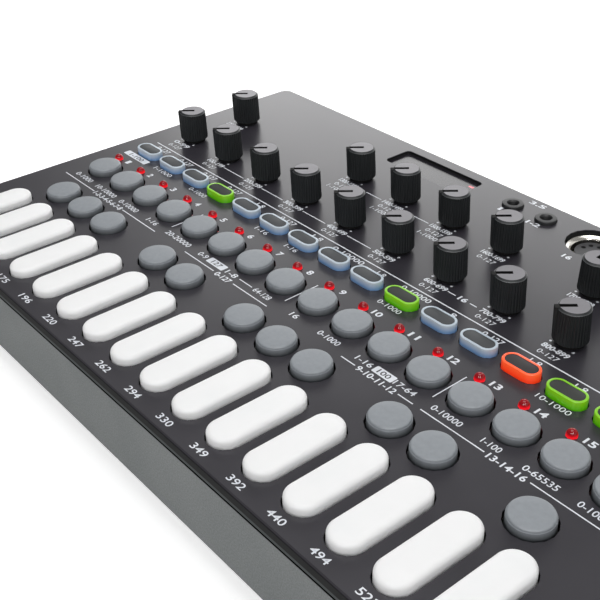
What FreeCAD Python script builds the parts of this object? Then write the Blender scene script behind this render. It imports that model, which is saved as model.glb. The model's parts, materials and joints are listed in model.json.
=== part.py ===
import FreeCAD, Part
import math
import os

# Tabletop step synthesizer with a keyboard of 27 keys, 16 step buttons, 16 function
# buttons and 18 knobs. Millimetres, +Z up, +Y away from the player. The origin is the
# middle of the footprint, on the surface that the rubber feet stand on.

V = FreeCAD.Vector

# Layout across, from the left edge of the top panel
column_count = 16
column_pitch = 16.0
left_margin = 17.7
transport_gap = 22.0
right_margin = 17.3

# Layout from the front edge of the top panel to its back edge
front_margin = 6.8
white_key_length = 31.4
grey_row_gap = 3.5
step_row_gap = 9.8
pill_row_gap = 11.1
knob_row_gap = 13.0
knob_row_pitch = 27.0
back_margin = 35.95

# Heights, from the table up
foot_height = 3.5
base_drop = 3.9
wall_height = 24.3
band_height = 4.0
knob_lift = 1.6
knob_height = 11.2

# Housing
corner_radius = 4.0
case_wall = 2.2
base_thickness = 2.5
base_inset = 2.6
case_edge_bevel = 0.4
panel_thickness = 2.5
rim_wall = 1.5
panel_edge_bevel = 0.5

# Flat sides that stand in for a round, which keep the many repeated pieces light. The
# openings in the panel have more of them than the pieces in them, because their edge shows.
button_sides = 12
button_hole_sides = 16
key_end_sides = 6
key_hole_end_sides = 8
pill_end_sides = 4
pill_hole_end_sides = 6
knob_sides = 12
shaft_sides = 6
shaft_hole_sides = 8
lamp_sides = 8
collar_sides = 12
collar_hole_sides = 16
pin_sides = 6
grille_end_sides = 4
post_sides = 8
foot_sides = 12
round_sides = 20
inner_corner_sides = 2

# Keys and buttons
white_key_width = 10.5
white_key_bevel = 0.9
button_diameter = 12.8
button_draft = 0.4
pill_length = 12.7
pill_width = 6.4
pill_rim = 0.8
pill_dish = 0.3
pill_clearance = 0.4
cap_rise = 2.7
cap_clearance = 0.55
cap_skirt = 1.9
key_travel = 1.2
grey_key_columns = [0, 1, 2, 4, 5, 7, 8, 9, 11, 12, 14]
green_pill_columns = [3, 9, 13, 14, 15]
red_pill_columns = [12]

# Indicator lamps, beside and behind each step button
lamp_diameter = 3.2
lamp_rise = 2.1
lamp_collar_rise = 0.9
lamp_tip_diameter = 1.6
lamp_side_step = 5.2
lamp_back_step = 9.3
lamp_clearance = 0.15

# Knobs
front_knob_count = 12
back_knob_places = [0, 3, 4, 5, 6, 7.5]
knob_diameter = 10.9
knob_top_diameter = 10.0
knob_bevel = 0.5
pointer_width = 1.0
pointer_depth = 0.6
pointer_angle = 229.0
centred_pointer_angle = 90.0
back_pointer_angles = 5 * [pointer_angle] + [centred_pointer_angle]
shaft_diameter = 6.0
shaft_clearance = 0.5
pot_width = 9.0
pot_depth = 10.5
pot_height = 3.4
pot_gap = 0.3

# Boards and keypad sheet
board_thickness = 1.6
board_side_inset = 9.4
board_end_inset = 4.7
board_drop = 4.8
sheet_thickness = 1.4
sheet_margin = 1.0
sheet_lamp_gap = 0.3
socket_board_level = 14.4
socket_board_depth = 18.0
socket_board_inset = 3.2
socket_board_margin = 4.5
board_clearance = 1.0
board_post_diameter = 6.0
board_post_offset = 17.0

# Display
display_offset = 86.2
display_width = 40.0
display_depth = 13.2
display_inset = 5.1
display_corner = 2.0
window_recess = 1.3
window_flange = 1.6
window_flange_thickness = 1.0
window_clearance = 0.15
display_gap = 0.2

# Small audio sockets
jack_pitch = 15.0
jack_inset = 10.3
jack_collar_diameter = 7.8
jack_collar_rise = 1.2
jack_bore_diameter = 3.6
jack_bore_depth = 14.0
jack_body_width = 9.0
jack_body_depth = 11.0
jack_body_gap = 0.3
jack_clearance = 0.2

# Five-pin sockets
midi_gap = 21.2
midi_pitch = 24.0
midi_flange_diameter = 18.2
midi_flange_thickness = 0.8
midi_flange_drop = 1.6
midi_hole_clearance = 0.5
midi_edge_gap = 0.1
midi_bore_diameter = 14.4
midi_shell_wall = 0.8
midi_island_diameter = 12.0
midi_island_drop = 3.0
midi_socket_depth = 11.0
midi_fit = 0.1
pin_hole_diameter = 1.7
pin_circle_diameter = 7.5
pin_hole_depth = 7.0
pin_count = 5
pin_angle_step = 45.0

# Power inlet and power switch in the back wall
inlet_edge_gap = 17.0
inlet_diameter = 8.0
inlet_bore_diameter = 5.5
inlet_pin_diameter = 2.0
inlet_bore_depth = 9.0
inlet_body_width = 9.0
inlet_body_depth = 13.5
inlet_body_height = 9.0
inlet_clearance = 0.2
inlet_switch_gap = 3.5
switch_jack_gap = 1.1
slider_width = 4.0
slider_height = 3.0
slider_travel = 3.5
slider_clearance = 0.3
slider_stem = 3.4
switch_body_depth = 5.0
switch_body_height = 6.0
switch_body_margin = 2.5

# Battery bay for six AA cells, two rows of three
cell_diameter = 14.5
cell_length = 50.5
cell_rows = 3
cell_clearance = 0.5
contact_thickness = 0.5
contact_room = 4.0
bay_wall = 1.8
bay_ledge = 1.6
bay_offset = -12.0
door_thickness = 2.0
door_clearance = 0.3
hinge_pin_diameter = 1.6
hinge_pin_length = 1.4
hinge_pin_fit = 0.05
latch_width = 12.0
latch_length = 8.0
latch_slit = 0.8
notch_radius = 9.0
notch_reach = 4.5
notch_depth = 1.2

# Loudspeaker and its grille in the base
speaker_side_inset = 48.5
speaker_front_inset = 68.0
speaker_diameter = 36.0
speaker_rim_height = 2.5
speaker_basket_diameter = 30.0
speaker_basket_height = 4.0
magnet_diameter = 18.0
magnet_height = 5.0
grille_slot_count = 5
grille_slot_length = 22.0
grille_slot_width = 2.2
grille_slot_pitch = 4.6

# Feet and case screws
foot_diameter = 14.0
foot_inset = 22.0
screw_inset = 8.6
screw_post_diameter = 6.0
screw_head_diameter = 4.8
screw_head_height = 1.4
screw_shank_diameter = 2.6
screw_length = 9.0
screw_clearance = 0.2
screw_thread_gap = 0.05
overcut = 1.0

# Places that follow from the sizes above
panel_width = left_margin + (column_count - 1) * column_pitch + transport_gap + right_margin
left_edge = -panel_width / 2
right_edge = panel_width / 2
white_rows = front_margin + white_key_length
grey_row_centre = white_rows + grey_row_gap + button_diameter / 2
step_row_centre = grey_row_centre + button_diameter + step_row_gap
pill_row_centre = step_row_centre + button_diameter / 2 + pill_row_gap + pill_width / 2
knob_row_centre = pill_row_centre + pill_width / 2 + knob_row_gap + knob_diameter / 2
panel_depth = knob_row_centre + knob_row_pitch + back_margin
front_edge = -panel_depth / 2
back_edge = panel_depth / 2
white_y = front_edge + front_margin + white_key_length / 2
grey_y = front_edge + grey_row_centre
step_y = front_edge + step_row_centre
pill_y = front_edge + pill_row_centre
front_knob_y = front_edge + knob_row_centre
back_knob_y = front_knob_y + knob_row_pitch
transport_x = right_edge - right_margin
jack_y = back_edge - jack_inset
midi_hole_radius = midi_flange_diameter / 2 + midi_hole_clearance
midi_y = back_edge - rim_wall - midi_edge_gap - midi_hole_radius
knob_pitch = 1.5 * column_pitch

base_z = foot_height
floor_z = base_z + base_thickness
shoulder_z = base_z + base_drop
parting_z = shoulder_z + wall_height
panel_z = parting_z + band_height
ceiling_z = panel_z - panel_thickness
cap_top_z = panel_z + cap_rise
cap_foot_z = ceiling_z - cap_skirt
board_top_z = ceiling_z - board_drop
board_under_z = board_top_z - board_thickness
socket_board_top_z = base_z + socket_board_level + board_thickness
pot_top_z = board_top_z + pot_height


def column_x(place):
    """Middle of a column; places between the columns may be fractions."""
    return left_edge + left_margin + place * column_pitch


def knob_x(place):
    """Middle of a knob column; the first one lines up with the first step button."""
    return column_x(0) + place * knob_pitch


def block(x0, x1, y0, y1, z0, z1):
    return Part.makeBox(x1 - x0, y1 - y0, z1 - z0, V(x0, y0, z0))


def cylinder(x, y, z0, z1, diameter):
    return Part.makeCylinder(diameter / 2, z1 - z0, V(x, y, z0))


def cylinder_back(x, y0, y1, z, diameter):
    """Cylinder along +Y, for a bore that opens through the back wall."""
    return Part.makeCylinder(diameter / 2, y1 - y0, V(x, y0, z), V(0, 1, 0))


def ring(x, y, z, diameter, sides):
    """Corners of a round outline with flat sides."""
    corners = []
    for i in range(sides):
        a = 2 * math.pi * i / sides
        corners.append(V(x + diameter / 2 * math.cos(a), y + diameter / 2 * math.sin(a), z))
    return corners


def slot(x, y, z, length, width, end_sides, along_y=False):
    """Corners of a slot outline whose half-round ends have flat sides."""
    corners = []
    for direction, start in ((1, -90), (-1, 90)):
        for i in range(end_sides + 1):
            a = math.radians(start + 180 * i / end_sides)
            along = direction * (length - width) / 2 + width / 2 * math.cos(a)
            across = width / 2 * math.sin(a)
            corners.append(V(x - across, y + along, z) if along_y else V(x + along, y + across, z))
    return corners


def face_between(corners):
    return Part.Face(Part.makePolygon(corners + corners[:1]))


def column(corners, top_z):
    """Upright solid on an outline with flat sides."""
    return face_between(corners).extrude(V(0, 0, top_z - corners[0].z))


def round_column(x, y, z0, z1, diameter, sides=round_sides):
    return column(ring(x, y, z0, diameter, sides), z1)


def round_column_back(x, y0, y1, z, diameter, sides):
    """Round with flat sides along +Y, for what goes through the back wall."""
    turned = round_column(x, -z, y0, y1, diameter, sides)
    turned.rotate(V(0, 0, 0), V(1, 0, 0), -90)
    return turned


def stack(outlines):
    """Solid through outlines with as many corners each, with flat sides between them."""
    faces = [face_between(outlines[0]), face_between(outlines[-1])]
    for low, high in zip(outlines, outlines[1:]):
        for i in range(len(low)):
            faces.append(face_between([low[i - 1], low[i], high[i], high[i - 1]]))
    return Part.makeSolid(Part.makeShell(faces))


def corner_arc(x, y, z, radius, angle):
    """Quarter circle about (x, y), starting at the given angle in degrees."""
    points = []
    for turn in (0, 45, 90):
        a = math.radians(angle + turn)
        points.append(V(x + radius * math.cos(a), y + radius * math.sin(a), z))
    return Part.Arc(*points).toShape()


def rounded_outline(width, depth, radius, z, x=0.0, y=0.0):
    """Rectangle with round corners, about (x, y)."""
    a = width / 2 - radius
    b = depth / 2 - radius
    arcs = [
        corner_arc(x + a, y + b, z, radius, 0),
        corner_arc(x - a, y + b, z, radius, 90),
        corner_arc(x - a, y - b, z, radius, 180),
        corner_arc(x + a, y - b, z, radius, 270),
    ]
    edges = []
    for i, arc in enumerate(arcs):
        following = arcs[(i + 1) % 4]
        edges.append(arc)
        edges.append(Part.makeLine(arc.lastVertex(True).Point, following.firstVertex(True).Point))
    return Part.Wire(edges)


def cornered_outline(width, depth, radius, z):
    """Corners of a rectangle whose round corners have flat sides, for hidden inner walls."""
    corners = []
    for quarter, (x_side, y_side) in enumerate(((1, 1), (-1, 1), (-1, -1), (1, -1))):
        for i in range(inner_corner_sides + 1):
            a = math.radians(90 * (quarter + i / inner_corner_sides))
            x = x_side * (width / 2 - radius) + radius * math.cos(a)
            corners.append(V(x, y_side * (depth / 2 - radius) + radius * math.sin(a), z))
    return corners


def prism(outline, height):
    return Part.Face(outline).extrude(V(0, 0, height))


def edges_at(shape, z):
    """Edges that lie wholly at one height."""
    found = []
    for edge in shape.Edges:
        if all(abs(vertex.Z - z) < 1e-6 for vertex in edge.Vertexes):
            found.append(edge)
    return found


def export(name, pieces):
    shape = pieces[0] if len(pieces) == 1 else Part.makeCompound(pieces)
    shape.exportStep("parts/" + name + ".step")


# Where the repeated pieces stand


def midi_places():
    right = last_jack_x - 2 * jack_pitch - midi_gap
    return [right - midi_pitch, right]


def jack_places():
    second = midi_places()[0] - midi_gap
    fourth = last_jack_x - jack_pitch
    return [second - jack_pitch, second, fourth - jack_pitch, fourth, last_jack_x]


def lamp_places():
    return [(column_x(i) - lamp_side_step, step_y + lamp_back_step) for i in range(column_count)]


def knob_places():
    front = [(knob_x(i), front_knob_y) for i in range(front_knob_count)]
    back = [(knob_x(place), back_knob_y) for place in back_knob_places]
    return front, back


def grey_places():
    return [(column_x(i + 0.5), grey_y) for i in grey_key_columns]


def step_places():
    return [(column_x(i), step_y) for i in range(column_count)]


def transport_places():
    return [(transport_x, step_y), (transport_x, grey_y), (transport_x, white_y)]


def screw_places():
    x = right_edge - screw_inset
    y = back_edge - screw_inset
    return [(-x, -y), (x, -y), (x, y), (-x, y)]


def foot_places():
    x = right_edge - foot_inset
    y = back_edge - foot_inset
    return [(-x, -y), (x, -y), (x, y), (-x, y)]


inlet_x = right_edge - inlet_edge_gap
switch_half = (slider_width + slider_travel) / 2 + switch_body_margin
switch_middle = inlet_x - inlet_body_width / 2 - inlet_switch_gap - switch_half
switch_x = switch_middle - slider_travel / 2
last_jack_x = switch_middle - switch_half - switch_jack_gap - jack_body_width / 2
inlet_z = socket_board_top_z + inlet_body_height / 2
slider_z = socket_board_top_z + switch_body_height / 2
speaker_x = left_edge + speaker_side_inset
speaker_y = front_edge + speaker_front_inset
display_x = column_x(0) + display_offset
display_y = back_edge - display_inset - display_depth / 2

bay_length = 2 * cell_length + 2 * contact_room
bay_width = cell_rows * cell_diameter + 2 * cell_clearance
bay_y0 = bay_offset - bay_width / 2
bay_y1 = bay_offset + bay_width / 2
door_seat_z = base_z + door_thickness + door_clearance
bay_top_z = door_seat_z + cell_diameter + cell_clearance
hinge_z = base_z + door_thickness / 2
hinge_y = bay_y1 + bay_ledge - door_thickness / 2


# Top panel: black moulded lid with a hole for every key, button, lamp and shaft


def panel_holes():
    z0 = ceiling_z - overcut
    z1 = panel_z + overcut
    gap = 2 * cap_clearance
    key_hole_length = white_key_length + gap
    key_hole_width = white_key_width + gap
    pill_hole_length = pill_length + 2 * pill_clearance
    pill_hole_width = pill_width + 2 * pill_clearance
    holes = []
    for i in range(column_count):
        x = column_x(i)
        key_hole = slot(x, white_y, z0, key_hole_length, key_hole_width, key_hole_end_sides, True)
        pill_hole = slot(x, pill_y, z0, pill_hole_length, pill_hole_width, pill_hole_end_sides)
        holes.extend([column(key_hole, z1), column(pill_hole, z1)])
    for x, y in step_places() + grey_places() + transport_places():
        holes.append(round_column(x, y, z0, z1, button_diameter + gap, button_hole_sides))
    lamp_hole = lamp_diameter + 2 * lamp_clearance
    for x, y in lamp_places():
        holes.append(round_column(x, y, z0, z1, lamp_hole, lamp_sides))
    shaft_hole = shaft_diameter + 2 * shaft_clearance
    front, back = knob_places()
    for x, y in front + back:
        holes.append(round_column(x, y, z0, z1, shaft_hole, shaft_hole_sides))
    collar_hole = jack_collar_diameter + 2 * jack_clearance
    for x in jack_places():
        holes.append(round_column(x, jack_y, z0, z1, collar_hole, collar_hole_sides))
    for x in midi_places():
        holes.append(round_column(x, midi_y, z0, z1, 2 * midi_hole_radius))
    window = rounded_outline(display_width, display_depth, display_corner, z0, display_x, display_y)
    holes.append(prism(window, z1 - z0))
    return holes


def make_top_panel():
    outline = rounded_outline(panel_width, panel_depth, corner_radius, parting_z)
    lid = prism(outline, band_height)
    lid = lid.makeChamfer(panel_edge_bevel, edges_at(lid, panel_z))
    inner = cornered_outline(
        panel_width - 2 * rim_wall, panel_depth - 2 * rim_wall, corner_radius - rim_wall, parting_z - overcut
    )
    lid = lid.cut(column(inner, ceiling_z))
    posts = []
    for x, y in screw_places():
        posts.append(round_column(x, y, floor_z, ceiling_z, screw_post_diameter, post_sides))
    lid = lid.fuse(posts)
    threads = []
    for x, y in screw_places():
        top = base_z + screw_length + screw_head_height
        threads.append(round_column(x, y, floor_z - overcut, top, screw_shank_diameter, post_sides))
    return lid.cut(panel_holes() + threads)


# Bottom case: grey textured tub with the battery bay moulded in


def outer_tub():
    """Solid of the tub's outside, tapered below the shoulder."""
    low = rounded_outline(panel_width - 2 * base_inset, panel_depth - 2 * base_inset, corner_radius, base_z)
    mid = rounded_outline(panel_width, panel_depth, corner_radius, shoulder_z)
    taper = Part.makeLoft([low, mid], True, True)
    tub = taper.fuse(prism(mid, parting_z - shoulder_z)).removeSplitter()
    return tub.makeChamfer(case_edge_bevel, edges_at(tub, parting_z))


def inner_tub():
    """Room inside the tub, a wall's thickness within its outside."""
    width = panel_width - 2 * case_wall
    depth = panel_depth - 2 * case_wall
    radius = corner_radius - case_wall
    return stack([
        cornered_outline(width - 2 * base_inset, depth - 2 * base_inset, radius, floor_z),
        cornered_outline(width, depth, radius, shoulder_z),
        cornered_outline(width, depth, radius, parting_z + overcut),
    ])


def make_bottom_case():
    case = outer_tub().cut(inner_tub())
    case = case.fuse(bay_walls() + board_posts() + socket_board_ribs())
    return case.cut(bay_cuts() + speaker_slots() + screw_holes() + back_wall_cuts())


def bay_walls():
    """Solid box that the bay is cut from, wider at the bottom where the door is let in."""
    half = bay_length / 2 + bay_wall
    skirt = bay_ledge + door_clearance
    walls = block(-half, half, bay_y0 - bay_wall, bay_y1 + bay_wall, base_z, bay_top_z + bay_wall)
    half += skirt
    rim = block(
        -half, half, bay_y0 - bay_wall - skirt, bay_y1 + bay_wall + skirt, base_z, door_seat_z + bay_wall
    )
    return [walls, rim]


def board_posts():
    x = bay_length / 2 + board_post_offset
    posts = []
    for place in (-x, x):
        for y in (white_y, back_knob_y):
            posts.append(round_column(place, y, base_z, board_under_z, board_post_diameter, post_sides))
    return posts


def socket_board_ribs():
    x0, x1, y0, y1 = socket_board_extent()
    high = socket_board_top_z - board_thickness
    ribs = []
    for x in (x0 + case_wall, (x0 + x1) / 2, x1 - 2 * case_wall):
        ribs.append(block(x, x + case_wall, y0, y1 - board_clearance, base_z, high))
    return ribs


def bay_cuts():
    half = bay_length / 2
    seat_x = half + bay_ledge + door_clearance
    seat_y0 = bay_y0 - bay_ledge - door_clearance
    seat_y1 = bay_y1 + bay_ledge + door_clearance
    low = base_z - overcut
    pin_reach = half + bay_ledge + hinge_pin_length + door_clearance
    pin_radius = hinge_pin_diameter / 2 + hinge_pin_fit
    notch_y = seat_y0 - notch_reach + notch_radius
    return [
        block(-half, half, bay_y0, bay_y1, low, bay_top_z),
        block(-seat_x, seat_x, seat_y0, seat_y1, low, door_seat_z),
        Part.makeCylinder(pin_radius, 2 * pin_reach, V(-pin_reach, hinge_y, hinge_z), V(1, 0, 0)),
        round_column(0.0, notch_y, low, base_z + notch_depth, 2 * notch_radius),
    ]


def speaker_slots():
    slots = []
    low = base_z - overcut
    for i in range(grille_slot_count):
        y = speaker_y + (i - (grille_slot_count - 1) / 2) * grille_slot_pitch
        corners = slot(speaker_x, y, low, grille_slot_length, grille_slot_width, grille_end_sides)
        slots.append(column(corners, floor_z + overcut))
    return slots


def screw_holes():
    holes = []
    head_top = base_z + screw_head_height + screw_clearance
    head = screw_head_diameter + 2 * screw_clearance
    shank = screw_shank_diameter + 2 * screw_clearance
    for x, y in screw_places():
        holes.append(round_column(x, y, base_z - overcut, head_top, head, post_sides))
        holes.append(round_column(x, y, base_z, floor_z + overcut, shank, post_sides))
    return holes


def back_wall_cuts():
    y0 = back_edge - case_wall - overcut
    y1 = back_edge + overcut
    half_x = slider_width / 2 + slider_clearance
    half_z = slider_height / 2 + slider_clearance
    inlet_hole = inlet_diameter + 2 * inlet_clearance
    return [
        round_column_back(inlet_x, y0, y1, inlet_z, inlet_hole, collar_hole_sides),
        block(switch_x - half_x, switch_x + half_x + slider_travel, y0, y1,
              slider_z - half_z, slider_z + half_z),
    ]


# Battery door: flap on two pins, with a sprung tongue at its free edge


def make_battery_door():
    half = bay_length / 2 + bay_ledge
    y0 = bay_y0 - bay_ledge
    z1 = base_z + door_thickness
    barrel_radius = door_thickness / 2
    flap = block(-half, half, y0, hinge_y, base_z, z1)
    barrel = Part.makeCylinder(barrel_radius, 2 * half, V(-half, hinge_y, hinge_z), V(1, 0, 0))
    reach = half + hinge_pin_length
    pin = Part.makeCylinder(hinge_pin_diameter / 2, 2 * reach, V(-reach, hinge_y, hinge_z), V(1, 0, 0))
    slits = []
    for side in (-1, 1):
        x = side * (latch_width + latch_slit) / 2
        slits.append(
            block(x - latch_slit / 2, x + latch_slit / 2, y0 - overcut, y0 + latch_length,
                  base_z - overcut, z1 + overcut)
        )
    return flap.fuse([barrel, pin]).cut(slits).removeSplitter()


def make_battery_contacts():
    """Sheet metal plates at both ends of each row of cells, joined in pairs."""
    half = bay_length / 2
    low = door_seat_z + cell_clearance
    high = bay_top_z - cell_clearance
    plates = []
    for side in (-1, 1):
        x = side * (half - contact_thickness / 2)
        for row in range(cell_rows):
            y = bay_y0 + cell_clearance + (row + 0.5) * cell_diameter
            w = cell_diameter / 2 - cell_clearance
            plates.append(
                block(x - contact_thickness / 2, x + contact_thickness / 2, y - w, y + w, low, high)
            )
    return plates


# Keys, buttons and lamps


def make_white_key(x):
    shoulder = cap_top_z - white_key_bevel
    length = white_key_length - 2 * white_key_bevel
    width = white_key_width - 2 * white_key_bevel
    return stack([
        slot(x, white_y, cap_foot_z, white_key_length, white_key_width, key_end_sides, True),
        slot(x, white_y, shoulder, white_key_length, white_key_width, key_end_sides, True),
        slot(x, white_y, cap_top_z, length, width, key_end_sides, True),
    ])


def make_round_button(x, y):
    return stack([
        ring(x, y, cap_foot_z, button_diameter, button_sides),
        ring(x, y, cap_top_z, button_diameter - 2 * button_draft, button_sides),
    ])


def make_pill(x):
    """Clear coloured body with a shallow dish for the opaque centre."""
    body = column(slot(x, pill_y, cap_foot_z, pill_length, pill_width, pill_end_sides), cap_top_z)
    length = pill_length - 2 * pill_rim
    width = pill_width - 2 * pill_rim
    dish = slot(x, pill_y, cap_top_z - pill_dish, length, width, pill_end_sides)
    return body.cut(column(dish, cap_top_z + overcut))


def pill_columns(colour):
    special = {"green": green_pill_columns, "red": red_pill_columns}
    if colour in special:
        return special[colour]
    taken = green_pill_columns + red_pill_columns
    return [i for i in range(column_count) if i not in taken]


def make_lamp(x, y):
    collar_z = panel_z + lamp_collar_rise
    return stack([
        ring(x, y, board_top_z, lamp_diameter, lamp_sides),
        ring(x, y, collar_z, lamp_diameter, lamp_sides),
        ring(x, y, panel_z + lamp_rise, lamp_tip_diameter, lamp_sides),
    ])


# Knobs: tapered, with a bevelled top and a pointer groove from the middle to the edge


def make_knob(x, y, pointer):
    z0 = panel_z + knob_lift
    z1 = z0 + knob_height
    body = stack([
        ring(x, y, z0, knob_diameter, knob_sides),
        ring(x, y, z1 - knob_bevel, knob_top_diameter, knob_sides),
        ring(x, y, z1, knob_top_diameter - 2 * knob_bevel, knob_sides),
    ])
    stem = round_column(x, y, pot_top_z + pot_gap, z0, shaft_diameter, shaft_sides)
    groove = block(
        x, x + knob_diameter, y - pointer_width / 2, y + pointer_width / 2, z1 - pointer_depth, z1 + overcut
    )
    groove.rotate(V(x, y, 0), V(0, 0, 1), pointer)
    return body.fuse(stem).cut(groove)


def make_potentiometers():
    front, back = knob_places()
    bodies = []
    for x, y in front + back:
        w = pot_width / 2
        d = pot_depth / 2
        bodies.append(block(x - w, x + w, y - d, y + d, board_top_z, pot_top_z))
    return bodies


# Boards and the silicone sheet under the keys


def socket_board_extent():
    x0 = jack_places()[0] - jack_body_width / 2 - socket_board_margin
    x1 = right_edge - board_side_inset
    y1 = back_edge - case_wall - socket_board_inset
    return x0, x1, y1 - socket_board_depth, y1


def make_main_board():
    half_x = right_edge - board_side_inset
    half_y = back_edge - board_end_inset
    board = block(-half_x, half_x, -half_y, half_y, board_under_z, board_top_z)
    x0, x1, y0, y1 = socket_board_extent()
    bites = [block(x0 - board_clearance, right_edge, y0 - board_clearance, back_edge,
                   board_under_z - overcut, board_top_z + overcut)]
    bite_diameter = screw_post_diameter + 2 * board_clearance
    for x, y in screw_places():
        bites.append(cylinder(x, y, board_under_z - overcut, board_top_z + overcut, bite_diameter))
    return board.cut(bites)


def make_socket_board():
    x0, x1, y0, y1 = socket_board_extent()
    board = block(x0, x1, y0, y1, socket_board_top_z - board_thickness, socket_board_top_z)
    x, y = screw_places()[2]
    bite_diameter = screw_post_diameter + 2 * board_clearance
    return board.cut(cylinder(x, y, base_z, panel_z, bite_diameter))


def make_keypad_sheet():
    z1 = board_top_z + sheet_thickness
    x0 = column_x(0) - button_diameter / 2 - sheet_margin
    x1 = transport_x + button_diameter / 2
    y0 = white_y - white_key_length / 2 - sheet_margin
    lamp_edge = step_y + lamp_back_step - lamp_diameter / 2
    y1 = min(step_y + button_diameter / 2 + sheet_margin, lamp_edge - sheet_lamp_gap)
    keys = block(x0, x1, y0, y1, board_top_z, z1)
    pill_half = pill_width / 2 + sheet_margin
    pills = block(x0, x1, pill_y - pill_half, pill_y + pill_half, board_top_z, z1)
    return [keys, pills]


# Display behind a smoked window that is let into the panel


def make_display_window():
    z1 = panel_z - window_recess
    width = display_width - 2 * window_clearance
    depth = display_depth - 2 * window_clearance
    radius = display_corner - window_clearance
    pane = prism(rounded_outline(width, depth, radius, ceiling_z, display_x, display_y), z1 - ceiling_z)
    flange = block(
        display_x - width / 2 - window_flange, display_x + width / 2 + window_flange,
        display_y - depth / 2 - window_flange, display_y + depth / 2 + window_flange,
        ceiling_z - window_flange_thickness, ceiling_z,
    )
    return pane.fuse(flange)


def make_display_module():
    top = ceiling_z - window_flange_thickness - display_gap
    w = display_width / 2
    d = display_depth / 2
    return block(display_x - w, display_x + w, display_y - d, display_y + d, board_top_z, top)


# Sockets


def make_jack(x):
    top = panel_z + jack_collar_rise
    body_top = ceiling_z - jack_body_gap
    w = jack_body_width / 2
    d = jack_body_depth / 2
    body = block(x - w, x + w, jack_y - d, jack_y + d, socket_board_top_z, body_top)
    body = body.fuse(round_column(x, jack_y, body_top, top, jack_collar_diameter, collar_sides))
    return body.cut(cylinder(x, jack_y, top - jack_bore_depth, top + overcut, jack_bore_diameter))


def make_midi_shell(x):
    top = panel_z - midi_flange_drop
    outer = midi_bore_diameter + 2 * midi_shell_wall
    shell = round_column(x, midi_y, socket_board_top_z, top, outer)
    shell = shell.fuse(round_column(x, midi_y, top - midi_flange_thickness, top, midi_flange_diameter))
    return shell.cut(round_column(x, midi_y, socket_board_top_z - overcut, top + overcut, midi_bore_diameter))


def make_midi_insert(x):
    floor = panel_z - midi_flange_drop - midi_socket_depth
    top = panel_z - midi_island_drop
    insert = round_column(x, midi_y, socket_board_top_z, floor, midi_bore_diameter - 2 * midi_fit)
    insert = insert.fuse(round_column(x, midi_y, floor, top, midi_island_diameter))
    holes = []
    for i in range(pin_count):
        a = math.radians((i - (pin_count - 1) / 2) * pin_angle_step + 90)
        px = x + pin_circle_diameter / 2 * math.cos(a)
        py = midi_y + pin_circle_diameter / 2 * math.sin(a)
        holes.append(round_column(px, py, top - pin_hole_depth, top + overcut, pin_hole_diameter, pin_sides))
    return insert.cut(holes)


def make_power_inlet():
    w = inlet_body_width / 2
    inner_wall = back_edge - case_wall
    body = block(
        inlet_x - w, inlet_x + w, inner_wall - inlet_body_depth, inner_wall - inlet_clearance,
        socket_board_top_z, socket_board_top_z + inlet_body_height,
    )
    collar = round_column_back(
        inlet_x, inner_wall - inlet_clearance, back_edge, inlet_z, inlet_diameter, collar_sides
    )
    floor_y = back_edge - inlet_bore_depth
    bore = cylinder_back(inlet_x, floor_y, back_edge + overcut, inlet_z, inlet_bore_diameter)
    pin = round_column_back(inlet_x, floor_y - overcut, inner_wall, inlet_z, inlet_pin_diameter, pin_sides)
    return body.fuse(collar).cut(bore).fuse(pin)


def make_switch_body():
    y1 = back_edge - slider_stem
    return block(switch_middle - switch_half, switch_middle + switch_half, y1 - switch_body_depth, y1,
                 socket_board_top_z, socket_board_top_z + switch_body_height)


def make_switch_slider():
    w = slider_width / 2
    h = slider_height / 2
    return block(switch_x - w, switch_x + w, back_edge - slider_stem + slider_clearance, back_edge,
                 slider_z - h, slider_z + h)


# Loudspeaker, feet and screws


def make_speaker():
    z1 = floor_z + speaker_rim_height
    z2 = z1 + speaker_basket_height
    rim = round_column(speaker_x, speaker_y, floor_z, z1, speaker_diameter)
    basket = stack([
        ring(speaker_x, speaker_y, z1, speaker_basket_diameter, round_sides),
        ring(speaker_x, speaker_y, z2, magnet_diameter, round_sides),
        ring(speaker_x, speaker_y, z2 + magnet_height, magnet_diameter, round_sides),
    ])
    return rim.fuse(basket)


def make_screw(x, y):
    seat = base_z + screw_head_height
    head = round_column(x, y, base_z, seat, screw_head_diameter, post_sides)
    shank = screw_shank_diameter - 2 * screw_thread_gap
    return head.fuse(round_column(x, y, seat, seat + screw_length - screw_clearance, shank, post_sides))


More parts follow.
